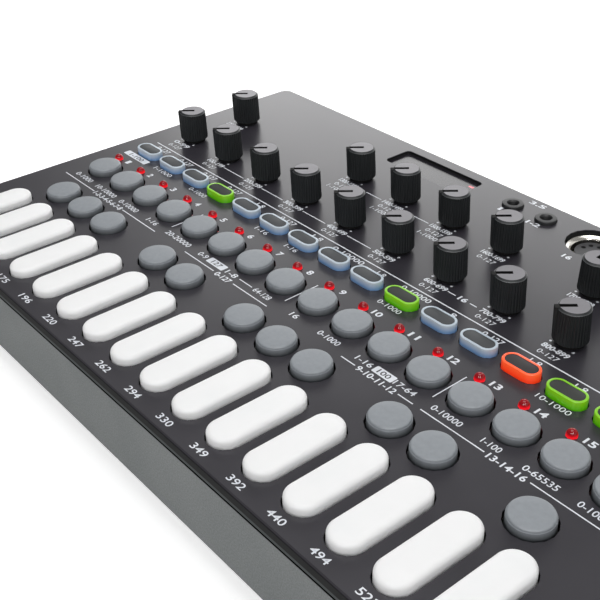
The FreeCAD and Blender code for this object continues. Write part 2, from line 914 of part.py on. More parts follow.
def build():
    os.makedirs("parts", exist_ok=True)
    export("top_panel", [make_top_panel()])
    export("bottom_case", [make_bottom_case()])
    export("battery_door", [make_battery_door()])
    export("battery_contacts", make_battery_contacts())
    export("main_board", [make_main_board()])
    export("socket_board", [make_socket_board()])
    export("keypad_sheet", make_keypad_sheet())
    export("potentiometers", make_potentiometers())
    for i in range(column_count):
        export("white_key_" + str(i + 1), [make_white_key(column_x(i))])
    export("grey_keys", [make_round_button(x, y) for x, y in grey_places()])
    export("step_buttons", [make_round_button(x, y) for x, y in step_places()])
    export("transport_buttons", [make_round_button(x, y) for x, y in transport_places()])
    for colour in ("clear", "green", "red"):
        export("pills_" + colour, [make_pill(column_x(i)) for i in pill_columns(colour)])
    export("step_lamps", [make_lamp(x, y) for x, y in lamp_places()])
    front, back = knob_places()
    for i, (x, y) in enumerate(front):
        export("knob_front_" + str(i + 1), [make_knob(x, y, pointer_angle)])
    for i, ((x, y), pointer) in enumerate(zip(back, back_pointer_angles)):
        export("knob_back_" + str(i + 1), [make_knob(x, y, pointer)])
    export("display_window", [make_display_window()])
    export("display_module", [make_display_module()])
    export("jack_sockets", [make_jack(x) for x in jack_places()])
    export("midi_shells", [make_midi_shell(x) for x in midi_places()])
    export("midi_inserts", [make_midi_insert(x) for x in midi_places()])
    export("power_inlet", [make_power_inlet()])
    export("power_switch_body", [make_switch_body()])
    export("power_switch_slider", [make_switch_slider()])
    export("speaker", [make_speaker()])
    feet = [round_column(x, y, 0.0, base_z, foot_diameter, foot_sides) for x, y in foot_places()]
    export("rubber_feet", feet)
    export("case_screws", [make_screw(x, y) for x, y in screw_places()])


build()
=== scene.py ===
import bmesh
import bpy
import json
from math import cos, pi, radians, sin, tau
from mathutils import Matrix, Vector


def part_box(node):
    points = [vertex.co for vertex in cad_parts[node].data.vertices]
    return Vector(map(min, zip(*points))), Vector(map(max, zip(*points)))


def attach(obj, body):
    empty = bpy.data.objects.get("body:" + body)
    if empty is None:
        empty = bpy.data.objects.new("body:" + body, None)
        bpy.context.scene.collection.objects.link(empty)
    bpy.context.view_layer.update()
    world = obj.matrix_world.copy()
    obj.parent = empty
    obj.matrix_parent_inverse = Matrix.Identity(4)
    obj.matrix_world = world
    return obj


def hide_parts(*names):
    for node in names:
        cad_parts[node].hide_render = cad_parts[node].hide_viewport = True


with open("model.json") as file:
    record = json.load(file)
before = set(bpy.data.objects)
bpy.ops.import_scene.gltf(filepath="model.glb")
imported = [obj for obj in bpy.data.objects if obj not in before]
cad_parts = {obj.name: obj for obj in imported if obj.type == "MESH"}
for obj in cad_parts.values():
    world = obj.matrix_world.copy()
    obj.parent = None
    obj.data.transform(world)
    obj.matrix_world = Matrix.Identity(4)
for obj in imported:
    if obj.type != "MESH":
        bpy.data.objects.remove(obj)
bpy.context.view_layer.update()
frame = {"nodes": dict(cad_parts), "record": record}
scene = bpy.context.scene

# Dresses the synthesizer's solids: smooth keys, buttons, knobs and sockets, print, lamps
# and finishes. Metres throughout; MM turns a size in millimetres into metres.

MM = 0.001
MERGE = 0.001 * MM  # corners closer than this are one

# Steps round a circle and round the two ends of a slot
ROUND_STEPS = 64
SLOT_STEPS = 48

# Keys, buttons and pill buttons
KEY_ROUNDING = 1.3 * MM
BUTTON_DRAFT = 0.4 * MM
BUTTON_ROUNDING = 0.6 * MM
BUTTON_CROWN = 0.04 * MM
BUTTON_SEAM_DROP = 0.85 * MM
BUTTON_SEAM_DEPTH = 0.07 * MM
PILL_RIM = 0.8 * MM
PILL_ROUNDING = 0.22 * MM
PILL_DISH = 0.3 * MM
DISH_WALL = 0.02 * MM
INSET_GAP = 0.05 * MM
INSET_DROP = 0.06 * MM
INSET_ROUNDING = 0.08 * MM

# Knobs: skirt, edge, bevel, pointer groove, fin, and the hub and stem below
KNOB_LIFT = 1.4 * MM
KNOB_FLUTES = 34
FLUTE_STEPS = 4
FLUTE_DEPTH = 0.17 * MM
KNOB_FOOT = 0.25 * MM
KNOB_TAPER = 0.4 * MM
KNOB_EDGE = 0.2 * MM
KNOB_BEVEL = 0.5 * MM
KNOB_BEVEL_WIDTH = 0.7 * MM
POINTER_WIDTH = 1.5 * MM
POINTER_DEPTH = 1.0 * MM
FIN_WIDTH = 1.9 * MM
FIN_REACH = 0.4 * MM
FIN_DROP = 0.15 * MM
FIN_RISE = 0.3 * MM
FIN_ROUNDING = 0.2 * MM
STEM_RADIUS = 3.0 * MM
HUB_RADIUS = 4.4 * MM
HUB_GAP = 0.2 * MM

# Print
PRINT_LIFT = 0.02 * MM
LINE_WIDTH = 0.4 * MM
LONG_LINE_WIDTH = 0.5 * MM
DOT_RADIUS = 0.45 * MM
DIVIDER_LENGTH = 13.6 * MM
BOX_HEIGHT = 3.1 * MM
BOX_ROUNDING = 0.5 * MM

# Side of the housing: the lid's band, and the painted shade of a groove under it
BAND_HEIGHT = 4.0 * MM
GROOVE_HEIGHT = 0.6 * MM
GROOVE_BLEND = 0.7 * MM

panel_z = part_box("top_panel")[1].z
lamp_low, lamp_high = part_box("step_lamps")
pill_low, pill_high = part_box("pills_clear")
red_low, red_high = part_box("pills_red")
step_low, step_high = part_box("step_buttons")
mounts = {mount["name"]: Vector(mount["pos_m"]) for mount in frame["record"]["mounts"]}


def centre_of(node):
    low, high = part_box(node)
    return (low + high) / 2


# Finishes. Each is named for what the real surface is or for the light or shade painted on it, and
# its grain has a real size.

DRIFT_SIZE = 20 * MM
SHEEN_DRIFT = 0.04

# Up the panel's side, as parts of BAND_HEIGHT, light and shade are painted: a black gap as shade,
# a paler line as the highlight on the lid's lip, a dark band and a black turn under the face as
# shade. The second list makes the gap, band and turn part or all black metal, which has no sheen
# of its own, so their reflection is painted out.
SIDE_PAINTED_LIGHT = (
    (0.02, "#020203"), (0.05, "#3C4142"), (0.23, "#3C4142"), (0.31, "#060708"),
    (0.86, "#060708"), (0.89, "#020203"),
)
SIDE_PAINTED_SHADE = (
    (0.02, "#FFFFFF"), (0.05, "#000000"), (0.23, "#000000"), (0.31, "#9A9A9A"),
    (0.8, "#9A9A9A"), (0.84, "#D0D0D0"), (0.9, "#D0D0D0"), (0.94, "#000000"),
)


def linear(hex_colour):
    """sRGB hex value as a linear colour with full alpha."""
    values = [int(hex_colour[i:i + 2], 16) / 255 for i in (1, 3, 5)]
    return [v / 12.92 if v <= 0.04045 else ((v + 0.055) / 1.055) ** 2.4 for v in values] + [1.0]


def add_node(tree, kind, inputs=None, links=None, ramp=None, **settings):
    """Adds a shader node with its settings, its input values and what feeds its inputs."""
    node = tree.nodes.new("ShaderNode" + kind)
    for name, value in settings.items():
        setattr(node, name, value)
    for name, value in (inputs or {}).items():
        node.inputs[name].default_value = value
    for name, source in (links or {}).items():
        if isinstance(source, bpy.types.Node):
            source = source.outputs[0]
        tree.links.new(source, node.inputs[name])
    for i, (place, colour) in enumerate(ramp or ()):
        stops = node.color_ramp.elements
        stop = stops[i] if i < 2 else stops.new(place)
        stop.position = place
        stop.color = linear(colour)
    return node


def start_material(name):
    """New material, its tree, and a place on the surface in metres."""
    material = bpy.data.materials.new(name)
    material.use_nodes = True
    tree = material.node_tree
    tree.nodes.clear()
    return material, tree, add_node(tree, "TexCoord").outputs["Object"]


def end_material(tree, surface, inputs=None):
    """Puts what feeds the surface, and its fixed numbers, on the shader."""
    shader = add_node(tree, "BsdfPrincipled", inputs, surface)
    add_node(tree, "OutputMaterial", {}, {"Surface": shader})


def level_between(tree, place, low, high):
    """How far a spot lies between two heights, from 0 to 1."""
    height = add_node(tree, "SeparateXYZ", {}, {"Vector": place}).outputs["Z"]
    return add_node(tree, "MapRange", {"From Min": low, "From Max": high}, {"Value": height})


def moulded(name, dark, light, rough, grain_mm, depth_mm, inputs=None):
    """Moulded plastic, rubber or ink: tone and sheen that drift slowly, and a fine tool grain."""
    material, tree, place = start_material(name)
    drift = add_node(tree, "TexNoise", {"Scale": 1 / DRIFT_SIZE, "Detail": 2.0}, {"Vector": place})
    fine = add_node(
        tree, "TexNoise", {"Scale": 1 / (grain_mm * MM), "Detail": 3.0}, {"Vector": place}
    )
    sheen = {"To Min": rough - SHEEN_DRIFT, "To Max": rough + SHEEN_DRIFT}
    relief = {"Strength": 0.4, "Distance": depth_mm * MM}
    end_material(tree, {
        "Base Color": add_node(tree, "ValToRGB", {}, {"Fac": drift}, ((0.35, dark), (0.65, light))),
        "Roughness": add_node(tree, "MapRange", sheen, {"Value": drift}),
        "Normal": add_node(tree, "Bump", relief, {"Height": fine}),
    }, inputs)
    return material


def plated(name, dark, light, low, high, grain_mm, stretch=(1, 1, 1)):
    """Bare or plated metal whose tone and polish follow the marks of its making."""
    material, tree, place = start_material(name)
    drawn = add_node(tree, "Mapping", {"Scale": stretch}, {"Vector": place})
    marks = add_node(
        tree, "TexNoise", {"Scale": 1 / (grain_mm * MM), "Detail": 3.0}, {"Vector": drawn}
    )
    relief = {"Strength": 0.05, "Distance": 0.003 * MM}
    end_material(tree, {
        "Base Color": add_node(tree, "ValToRGB", {}, {"Fac": marks}, ((0.3, dark), (0.7, light))),
        "Roughness": add_node(tree, "MapRange", {"To Min": low, "To Max": high}, {"Value": marks}),
        "Normal": add_node(tree, "Bump", relief, {"Height": marks}),
    }, {"Metallic": 1.0})
    return material


def satin_lacquer():
    """Panel: satin lacquer on its face; up its side painted shade and a painted lip highlight."""
    material, tree, place = start_material("satin_lacquered_abs")
    level = level_between(tree, place, panel_z - BAND_HEIGHT, panel_z)
    top = level_between(tree, place, panel_z - 0.5 * MM, panel_z - 0.35 * MM)
    drift = add_node(tree, "TexNoise", {"Scale": 1 / DRIFT_SIZE, "Detail": 2.0}, {"Vector": place})
    grain = add_node(tree, "TexNoise", {"Scale": 1 / (0.5 * MM), "Detail": 3.0}, {"Vector": place})
    # painted light and shade: up the side, shade and the lip's highlight are painted in colour, and
    # sheen is painted out with black metal
    side = add_node(tree, "ValToRGB", {}, {"Fac": level}, SIDE_PAINTED_LIGHT)
    face = add_node(tree, "ValToRGB", {}, {"Fac": drift}, ((0.35, "#2C2A30"), (0.65, "#302E34")))
    rough = add_node(tree, "MapRange", {"To Min": 0.7, "To Max": 0.28}, {"Value": top})
    relief = {"Strength": 0.25, "Distance": 0.01 * MM}
    end_material(tree, {
        "Base Color": add_node(
            tree, "Mix", {}, {0: top, 6: side, 7: face}, data_type="RGBA"
        ).outputs[2],
        "Roughness": add_node(
            tree, "Math", {1: 0.05}, {0: drift, 2: rough}, operation="MULTIPLY_ADD"
        ),
        "Metallic": add_node(tree, "ValToRGB", {}, {"Fac": level}, SIDE_PAINTED_SHADE),
        "Normal": add_node(tree, "Bump", relief, {"Height": grain}),
    })
    return material


def grey_silicone_rubber():
    """Silicone buttons: dull, with fine blooms, and painted shade that darkens them down the side.
    """
    material, tree, place = start_material("grey_silicone_rubber")
    # painted shade: the side is painted darker towards the panel, where the shade falls
    shade_level = level_between(tree, place, panel_z - 0.3 * MM, panel_z + 2.2 * MM)
    side = add_node(tree, "ValToRGB", {}, {"Fac": shade_level}, ((0.0, "#474B4E"), (0.9, "#8C9196")))
    bloom = add_node(tree, "TexNoise", {"Scale": 1 / (1.6 * MM), "Detail": 3.0}, {"Vector": place})
    spots = add_node(tree, "ValToRGB", {}, {"Fac": bloom}, ((0.3, "#F4F4F4"), (0.7, "#FFFFFF")))
    relief = {"Strength": 0.35, "Distance": 0.012 * MM}
    end_material(tree, {
        "Base Color": add_node(
            tree, "Mix", {0: 1.0}, {6: side, 7: spots}, data_type="RGBA", blend_type="MULTIPLY"
        ).outputs[2],
        "Roughness": add_node(tree, "MapRange", {"To Min": 0.4, "To Max": 0.5}, {"Value": bloom}),
        "Normal": add_node(tree, "Bump", relief, {"Height": bloom}),
    })
    return material


def spark_textured():
    """Grey ABS from a spark-eroded tool: fine pits, paler crests, and painted shade under the lid.

    The top of the wall is painted black as a groove's shade, in black metal with no sheen of its
    own.
    """
    material, tree, place = start_material("spark_textured_grey_abs")
    fineness = {"Scale": 1 / (0.5 * MM), "Detail": 4.0, "Roughness": 0.7}
    pits = add_node(tree, "TexNoise", fineness, {"Vector": place})
    clouds = add_node(tree, "TexNoise", {"Scale": 1 / (16 * MM), "Detail": 4.0}, {"Vector": place})
    crest = add_node(tree, "ValToRGB", {}, {"Fac": pits}, ((0.36, "#6D7070"), (0.64, "#8A8E8E")))
    tone = add_node(tree, "ValToRGB", {}, {"Fac": clouds}, ((0.35, "#F4F5F5"), (0.65, "#FFFFFF")))
    # painted shade: the top of the wall under the lid is painted black, with no sheen, as a
    # groove's shade
    parting_z = panel_z - BAND_HEIGHT
    groove = level_between(tree, place, parting_z - GROOVE_BLEND, parting_z - GROOVE_HEIGHT)
    body = add_node(
        tree, "Mix", {0: 1.0}, {6: crest, 7: tone}, data_type="RGBA", blend_type="MULTIPLY"
    ).outputs[2]
    relief = {"Strength": 0.7, "Distance": 0.05 * MM}
    end_material(tree, {
        "Base Color": add_node(
            tree, "Mix", {7: linear("#020202")}, {0: groove, 6: body}, data_type="RGBA"
        ).outputs[2],
        "Metallic": groove,
        "Roughness": add_node(tree, "MapRange", {"To Min": 0.5, "To Max": 0.62}, {"Value": pits}),
        "Normal": add_node(tree, "Bump", relief, {"Height": pits}),
    })
    return material


def frosted(name, foot, crown, glow):
    """Frosted polycarbonate with a painted glow, its colour painted fuller at the foot than the
    rim.
    """
    material, tree, place = start_material(name)
    # painted light: colour and glow run from full at the foot to pale at the rim, as light through
    # the body
    level = level_between(tree, place, panel_z, pill_high.z)
    frost = add_node(tree, "TexNoise", {"Scale": 1 / (0.35 * MM), "Detail": 2.0}, {"Vector": place})
    tint = add_node(tree, "ValToRGB", {}, {"Fac": level}, ((0.1, foot), (0.85, crown)))
    relief = {"Strength": 0.2, "Distance": 0.005 * MM}
    end_material(tree, {
        "Base Color": tint,
        "Emission Color": tint,
        "Roughness": add_node(tree, "MapRange", {"To Min": 0.26, "To Max": 0.36}, {"Value": frost}),
        "Normal": add_node(tree, "Bump", relief, {"Height": frost}),
    }, {"Emission Strength": glow, "Coat Weight": 0.2, "Coat Roughness": 0.15})
    return material


def lamp_lens():
    """Red epoxy lamp: polished dome; colour and glow painted bright at the foot, deep at the tip.
    """
    material, tree, place = start_material("red_epoxy_lens")
    level = level_between(tree, place, panel_z, lamp_high.z)
    swirl = add_node(tree, "TexNoise", {"Scale": 1 / (1.2 * MM)}, {"Vector": place})
    # painted light: bright at the foot, for the light the dome gathers there, and deep at the tip
    epoxy = ((0.05, "#D80C1A"), (0.65, "#82040D"))
    light = ((0.05, "#FF1C28"), (0.6, "#520006"))
    end_material(tree, {
        "Base Color": add_node(tree, "ValToRGB", {}, {"Fac": level}, epoxy),
        "Emission Color": add_node(tree, "ValToRGB", {}, {"Fac": level}, light),
        "Roughness": add_node(tree, "MapRange", {"To Min": 0.05, "To Max": 0.1}, {"Value": swirl}),
    }, {"Emission Strength": 0.9, "Specular IOR Level": 0.35})
    return material


def smoked_acrylic():
    """Smoked acrylic pane: satin against glare and dark right through, with faint hairlines."""
    material, tree, place = start_material("smoked_acrylic")
    drawn = add_node(tree, "Mapping", {"Scale": (1, 4, 1)}, {"Vector": place})
    hairs = add_node(tree, "TexNoise", {"Scale": 1 / (6 * MM), "Detail": 2.0}, {"Vector": drawn})
    smoke = ((0.3, "#242227"), (0.7, "#28262B"))
    end_material(tree, {
        "Base Color": add_node(tree, "ValToRGB", {}, {"Fac": hairs}, smoke),
        "Roughness": add_node(tree, "MapRange", {"To Min": 0.2, "To Max": 0.24}, {"Value": hairs}),
    }, {"IOR": 1.49})
    return material


def lit_segment():
    """Light-emitting segment: even red face, a little deeper where its diffuser is thick."""
    material, tree, place = start_material("lit_red_segment")
    cloud = add_node(tree, "TexNoise", {"Scale": 1 / (1.5 * MM)}, {"Vector": place})
    tint = add_node(tree, "ValToRGB", {}, {"Fac": cloud}, ((0.3, "#D4787E"), (0.7, "#DC8288")))
    lit = {"Base Color": tint, "Emission Color": tint}
    end_material(tree, lit, {"Emission Strength": 0.5, "Roughness": 0.4})
    return material


# Light spreads inside the white keys, so their sides stay nearly as white as their tops
silicone_glow = {
    "Subsurface Weight": 1.0, "Subsurface Radius": (1.0, 1.0, 1.0), "Subsurface Scale": 3.0 * MM
}

panel_lacquer = satin_lacquer()
grey_case = spark_textured()

white_silicone = moulded(
    "white_silicone_rubber", "#F4F5F5", "#F9FAFA", 0.5, 0.6, 0.006, silicone_glow
)
grey_silicone = grey_silicone_rubber()
keypad_silicone = moulded("keypad_silicone_rubber", "#8F9092", "#95979A", 0.6, 0.5, 0.01)

# Pill buttons: frosted bodies with a painted glow, and dark film in their dishes, painted a little
# tinted by that glow
pill_clear = frosted("frosted_clear_polycarbonate", "#6F95C2", "#B6C2CC", 0.1)
pill_green = frosted("frosted_green_polycarbonate", "#55B202", "#7CC012", 0.22)
pill_red = frosted("frosted_red_polycarbonate", "#FF3C14", "#FF5A2A", 0.38)
film_clear = moulded("dark_printed_film", "#34373A", "#3A3D40", 0.55, 0.6, 0.006)
film_green = moulded("dark_film_over_green", "#141A12", "#181F16", 0.6, 0.6, 0.006)
film_red = moulded("dark_film_over_red", "#1A1112", "#1F1516", 0.6, 0.6, 0.006)

# Knobs: black ABS with a satin grain, a painted highlight on the edge, and a crown that is
# turned smooth
knob_black = moulded(
    "black_satin_abs", "#111517", "#15191B", 0.5, 0.35, 0.01, {"Specular IOR Level": 0.4}
)
knob_crown = moulded("satin_turned_crown", "#6A686D", "#716F74", 0.36, 0.5, 0.008)
knob_edge_highlight = moulded("satin_edge_painted_highlight", "#3B3E40", "#424547", 0.4, 0.35, 0.008)
# painted shade: a black darker than the knobs' plastic, with little sheen, for the pointer groove,
# the fin's top, the hub under the skirt and the screws' cross recesses
painted_shade_black = moulded(
    "black_painted_shade", "#040404", "#070707", 0.7, 0.5, 0.008, {"Specular IOR Level": 0.2}
)

black_nylon = moulded("black_glass_filled_nylon", "#121213", "#171718", 0.5, 0.35, 0.012)
socket_black = moulded("black_moulded_abs", "#161719", "#1B1C1E", 0.5, 0.6, 0.006)
socket_grey = moulded("dark_grey_phenolic", "#343437", "#3A3A3D", 0.5, 0.5, 0.01)
foot_rubber = moulded("soft_black_rubber", "#151515", "#1B1B1B", 0.75, 0.5, 0.02)
speaker_paint = moulded("black_stoved_paint", "#101010", "#161616", 0.5, 0.5, 0.01)
solder_mask = moulded("green_solder_mask", "#0F4A2A", "#14542F", 0.3, 2.0, 0.02)
white_ink = moulded("white_screen_ink", "#DDE1E8", "#E6E9EE", 0.5, 0.4, 0.004)
dark_ink = moulded("bare_lacquer_in_print", "#29272B", "#2D2B2F", 0.4, 0.4, 0.004)

nickel = plated("bright_nickel_plate", "#D0CCC3", "#DDDAD3", 0.2, 0.24, 2.0)
dull_brass = plated("dull_brass_contact", "#7E7658", "#8E8564", 0.4, 0.5, 1.0)
spring_steel = plated(
    "nickel_plated_spring_steel", "#A9A9A6", "#BDBDBA", 0.25, 0.4, 0.8, (1, 1, 10)
)
tinned_steel = plated("tinned_steel", "#9A9B9C", "#ABACAD", 0.35, 0.5, 1.5)
black_screw = plated("black_zinc_steel", "#2A2A2B", "#38383A", 0.35, 0.5, 0.8)

red_lens = lamp_lens()
window_smoke = smoked_acrylic()
segment_lit = lit_segment()


# Mesh making


def place_piece(bm, name, body, materials, replaced=(), sharp_above=35):
    """Cleans a mesh, makes it an object and ties it to its body."""
    bmesh.ops.remove_doubles(bm, verts=bm.verts, dist=MERGE)
    bmesh.ops.recalc_face_normals(bm, faces=bm.faces)
    mesh = bpy.data.meshes.new(name)
    bm.to_mesh(mesh)
    bm.free()
    for polygon in mesh.polygons:
        polygon.use_smooth = True
    mesh.set_sharp_from_angle(angle=radians(sharp_above))
    piece = bpy.data.objects.new(name, mesh)
    scene.collection.objects.link(piece)
    for material in materials:
        mesh.materials.append(material)
    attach(piece, body)
    if replaced:
        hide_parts(*replaced)


def give_new(bm, old_faces, material):
    """Gives a material to the faces that were made since the old ones."""
    for face in bm.faces:
        if face not in old_faces:
            face.material_index = material


def turned(bm, profile, x, y, steps=ROUND_STEPS, material=0):
    """Spins a profile of (radius, height) points about an upright axis."""
    old_faces = set(bm.faces)
    old_verts = set(bm.verts)
    verts = [bm.verts.new((x + radius, y, height)) for radius, height in profile]
    edges = [bm.edges.new(pair) for pair in zip(verts, verts[1:])]
    bmesh.ops.spin(
        bm, geom=verts + edges, cent=(x, y, 0), axis=(0, 0, 1), angle=tau, steps=steps,
        use_merge=True,
    )
    made = [vert for vert in bm.verts if vert not in old_verts]
    bmesh.ops.remove_doubles(bm, verts=made, dist=MERGE)
    give_new(bm, old_faces, material)


def bevelled(bm, geom, size, steps, affect="EDGES"):
    """Rounds edges, or the corners of a flat face."""
    bmesh.ops.bevel(
        bm, geom=geom, offset=size, segments=steps, profile=0.5, affect=affect, material=-1
    )


def rotated(bm, verts, angle, axis="Z"):
    """Turns corners about an axis through the origin."""
    bmesh.ops.rotate(bm, verts=verts, cent=(0, 0, 0), matrix=Matrix.Rotation(angle, 3, axis))


def rounded_corner(radius, height, size, steps=4):
    """Profile points round an outer edge, from the side up to the top."""
    angles = [i / steps * pi / 2 for i in range(steps + 1)]
    return [(radius - size + size * cos(a), height - size + size * sin(a)) for a in angles]


def slot_face(bm, x, y, length, width, z, along_y=False):
    """Flat slot-shaped face: a circle whose halves are drawn apart."""
    end = width / 2
    reach = length / 2 - end
    made = bmesh.ops.create_circle(bm, cap_ends=True, segments=SLOT_STEPS, radius=end)["verts"]
    rotated(bm, made, pi / SLOT_STEPS)
    for vert in made:
        vert.co.x += reach if vert.co.x > 0 else -reach
    if along_y:
        rotated(bm, made, pi / 2)
    bmesh.ops.translate(bm, verts=made, vec=(x, y, z))
    return made[0].link_faces[0]


def drawn_out(bm, faces, height):
    """Draws faces out into a closed solid and returns the first face of its far end."""
    made = bmesh.ops.extrude_face_region(bm, geom=faces, use_keep_orig=True)["geom"]
    verts = [item for item in made if isinstance(item, bmesh.types.BMVert)]
    bmesh.ops.translate(bm, verts=verts, vec=(0, 0, height))
    return [item for item in made if isinstance(item, bmesh.types.BMFace)][0]


def rounded_rim(bm, face, size, steps):
    """Rounds the edges round a top face and returns what is left of the face."""
    old = set(bm.faces)
    bevelled(bm, list(face.edges), size, steps)
    kept = [face] if face.is_valid else []
    made = [item for item in bm.faces if item not in old or item in kept]
    return max(made, key=lambda item: item.calc_area() * (item.calc_center_median().z > 0))


def bar(bm, x0, x1, y0, y1, z0, z1, rounding=0.0):
    """Block between two corners, with or without rounded edges."""
    made = bmesh.ops.create_cube(bm, size=1.0)["verts"]
    bmesh.ops.scale(bm, verts=made, vec=(x1 - x0, y1 - y0, z1 - z0))
    middle = ((x0 + x1) / 2, (y0 + y1) / 2, (z0 + z1) / 2)
    bmesh.ops.translate(bm, verts=made, vec=middle)
    if rounding:
        bevelled(bm, list({edge for vert in made for edge in vert.link_edges}), rounding, 2)


# Keys and buttons

columns = [centre_of("white_key_%d" % (i + 1)).x for i in range(16)]
pitch = columns[1] - columns[0]
step_y = centre_of("step_buttons").y
grey_y = centre_of("grey_keys").y
white_y = centre_of("white_key_1").y
pill_y = centre_of("pills_clear").y
transport_x = centre_of("transport_buttons").x
button_radius = (step_high.y - step_low.y) / 2
pill_width = pill_high.y - pill_low.y
pill_length = red_high.x - red_low.x

# Columns, counted from 0, that a grey key stands after and that have a coloured pill button
grey_after = (0, 1, 2, 4, 5, 7, 8, 9, 11, 12, 14)
green_columns = (3, 9, 13, 14, 15)
red_columns = (12,)
clear_columns = tuple(i for i in range(16) if i not in green_columns + red_columns)


def white_keys():
    for i in range(16):
        node = "white_key_%d" % (i + 1)
        low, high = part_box(node)
        x, y, _ = (low + high) / 2
        bm = bmesh.new()
        foot = slot_face(bm, x, y, high.y - low.y, high.x - low.x, low.z, along_y=True)
        rounded_rim(bm, drawn_out(bm, [foot], high.z - low.z), KEY_ROUNDING, 6)
        place_piece(bm, node + "_cap", node, [white_silicone], [node])


def button_profile(low_z, high_z):
    """Tapered side with the fine step of the tool's parting, a soft edge and a faint crown."""
    top_radius = button_radius - BUTTON_DRAFT
    seam_z = high_z - BUTTON_SEAM_DROP
    seam_radius = top_radius + 0.1 * MM
    return [
        (0, low_z),
        (button_radius, low_z),
        (seam_radius + BUTTON_SEAM_DEPTH, seam_z - 0.05 * MM),
        (seam_radius + 0.4 * BUTTON_SEAM_DEPTH, seam_z + 0.02 * MM),
        (seam_radius - BUTTON_SEAM_DEPTH, seam_z + 0.04 * MM),
        *rounded_corner(top_radius, high_z - BUTTON_CROWN, BUTTON_ROUNDING),
        (top_radius * 0.5, high_z - BUTTON_CROWN / 4),
        (0, high_z),
    ]


def round_buttons(node, places):
    low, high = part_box(node)
    bm = bmesh.new()
    for x, y in places:
        turned(bm, button_profile(low.z, high.z), x, y)
    place_piece(bm, node + "_caps", node, [grey_silicone], [node], 25)


def pills(colour, indices, material, film):
    """Slot-shaped bodies with a dish in the top, and a film inset in each dish."""
    node = "pills_" + colour
    rise = pill_high.z - pill_low.z
    dish_z = pill_high.z - PILL_DISH
    gap = 2 * (PILL_RIM + INSET_GAP)
    bodies = bmesh.new()
    insets = bmesh.new()
    for i in indices:
        x = columns[i]
        foot = slot_face(bodies, x, pill_y, pill_length, pill_width, pill_low.z)
        flat = rounded_rim(bodies, drawn_out(bodies, [foot], rise), PILL_ROUNDING, 3)
        for thickness in (PILL_RIM - PILL_ROUNDING, DISH_WALL):
            bmesh.ops.inset_region(bodies, faces=[flat], thickness=thickness, use_even_offset=True)
        bmesh.ops.translate(bodies, verts=flat.verts, vec=(0, 0, -PILL_DISH))
        foot = slot_face(insets, x, pill_y, pill_length - gap, pill_width - gap, dish_z)
        top = drawn_out(insets, [foot], PILL_DISH - INSET_DROP)
        rounded_rim(insets, top, INSET_ROUNDING, 2)
    place_piece(bodies, node + "_bodies", node, [material], [node])
    place_piece(insets, node + "_insets", node, [film])


def lamps():
    radius = (lamp_high.y - lamp_low.y) / 2
    y = (lamp_low.y + lamp_high.y) / 2
    dome = rounded_corner(radius, lamp_high.z, radius, 9)
    bm = bmesh.new()
    for i in range(16):
        x = lamp_low.x + radius + i * pitch
        turned(bm, [(0, lamp_low.z), (radius, lamp_low.z)] + dome, x, y, 32)
    place_piece(bm, "step_lamp_lenses", "case", [red_lens], ["step_lamps"])


white_keys()
round_buttons("step_buttons", [(x, step_y) for x in columns])
round_buttons("grey_keys", [(columns[i] + pitch / 2, grey_y) for i in grey_after])
round_buttons("transport_buttons", [(transport_x, y) for y in (step_y, grey_y, white_y)])
pills("clear", clear_columns, pill_clear, film_clear)
pills("green", green_columns, pill_green, film_green)
pills("red", red_columns, pill_red, film_red)
lamps()


# Knobs: fluted skirt, an edge with a painted highlight, bevel and a lighter crown with a cut
# pointer groove, and a plain fin down the skirt under the pointer. Each stands on a hub and a stem.

# The knobs' finishes and their places in the list
KNOB_FINISHES = [knob_black, knob_crown, painted_shade_black, knob_edge_highlight]
CROWN, SHADE_BLACK, EDGE_HIGHLIGHT = 1, 2, 3

AT_REST = radians(229)
MIDWAY = radians(90)


def knob(node, pointer):
    """One knob, with its pointer turned to an angle."""
    low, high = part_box(node)
    centre = (low + high) / 2
    skirt_z = panel_z + KNOB_LIFT
    hub_z = panel_z + HUB_GAP
    radius = (high.x - low.x) / 2
    inner = radius - KNOB_TAPER - KNOB_BEVEL_WIDTH
    bm = bmesh.new()
    fluted_cap(bm, centre, radius, skirt_z, high.z)
    pointer_groove(bm, centre, high.z - POINTER_DEPTH, pointer)
    pointer_fin(bm, centre, (inner, radius), (skirt_z + FIN_RISE, high.z - FIN_DROP), pointer)
    # the hub and stem under the skirt are painted black as shade
    turned(bm, [
        (0, low.z), (STEM_RADIUS, low.z), (STEM_RADIUS, hub_z), (HUB_RADIUS, hub_z),
        (HUB_RADIUS, skirt_z), (0, skirt_z),
    ], centre.x, centre.y, 48, SHADE_BLACK)
    place_piece(bm, node + "_cap", node, KNOB_FINISHES, [node], 30)


def fluted_cap(bm, centre, radius, skirt_z, top_z):
    """Turned cap with flutes pressed into its skirt and one face for its crown."""
    top_radius = radius - KNOB_TAPER
    bevel_z = top_z - KNOB_BEVEL
    flutes_z = bevel_z - KNOB_EDGE - 0.1 * MM
    steps = FLUTE_STEPS * KNOB_FLUTES
    turned(bm, [
        (0, skirt_z),
        (radius - KNOB_FOOT, skirt_z),
        (radius, skirt_z + KNOB_FOOT),
        (top_radius, flutes_z),
        *rounded_corner(top_radius + 0.02 * MM, bevel_z, KNOB_EDGE, 3),
        (top_radius - KNOB_BEVEL_WIDTH, top_z),
        (0, top_z),
    ], centre.x, centre.y, steps)
    for vert in bm.verts:
        if skirt_z + KNOB_FOOT / 2 < vert.co.z < flutes_z + MERGE:
            arm = Vector((vert.co.x - centre.x, vert.co.y - centre.y))
            step = round(arm.angle_signed(Vector((1, 0))) / tau * steps)
            if step % FLUTE_STEPS in (1, 2):
                vert.co -= Vector((arm.x, arm.y, 0)).normalized() * FLUTE_DEPTH
    # painted highlight: the rounding under the bevel is painted paler, as the light it catches
    for face in bm.faces:
        if bevel_z - 0.6 * KNOB_EDGE < face.calc_center_median().z < bevel_z + MERGE:
            face.material_index = EDGE_HIGHLIGHT
    crown = [face for face in bm.faces if face.calc_center_median().z > top_z - MERGE]
    disc = bmesh.ops.dissolve_faces(bm, faces=crown)["region"][0]
    disc.material_index = CROWN


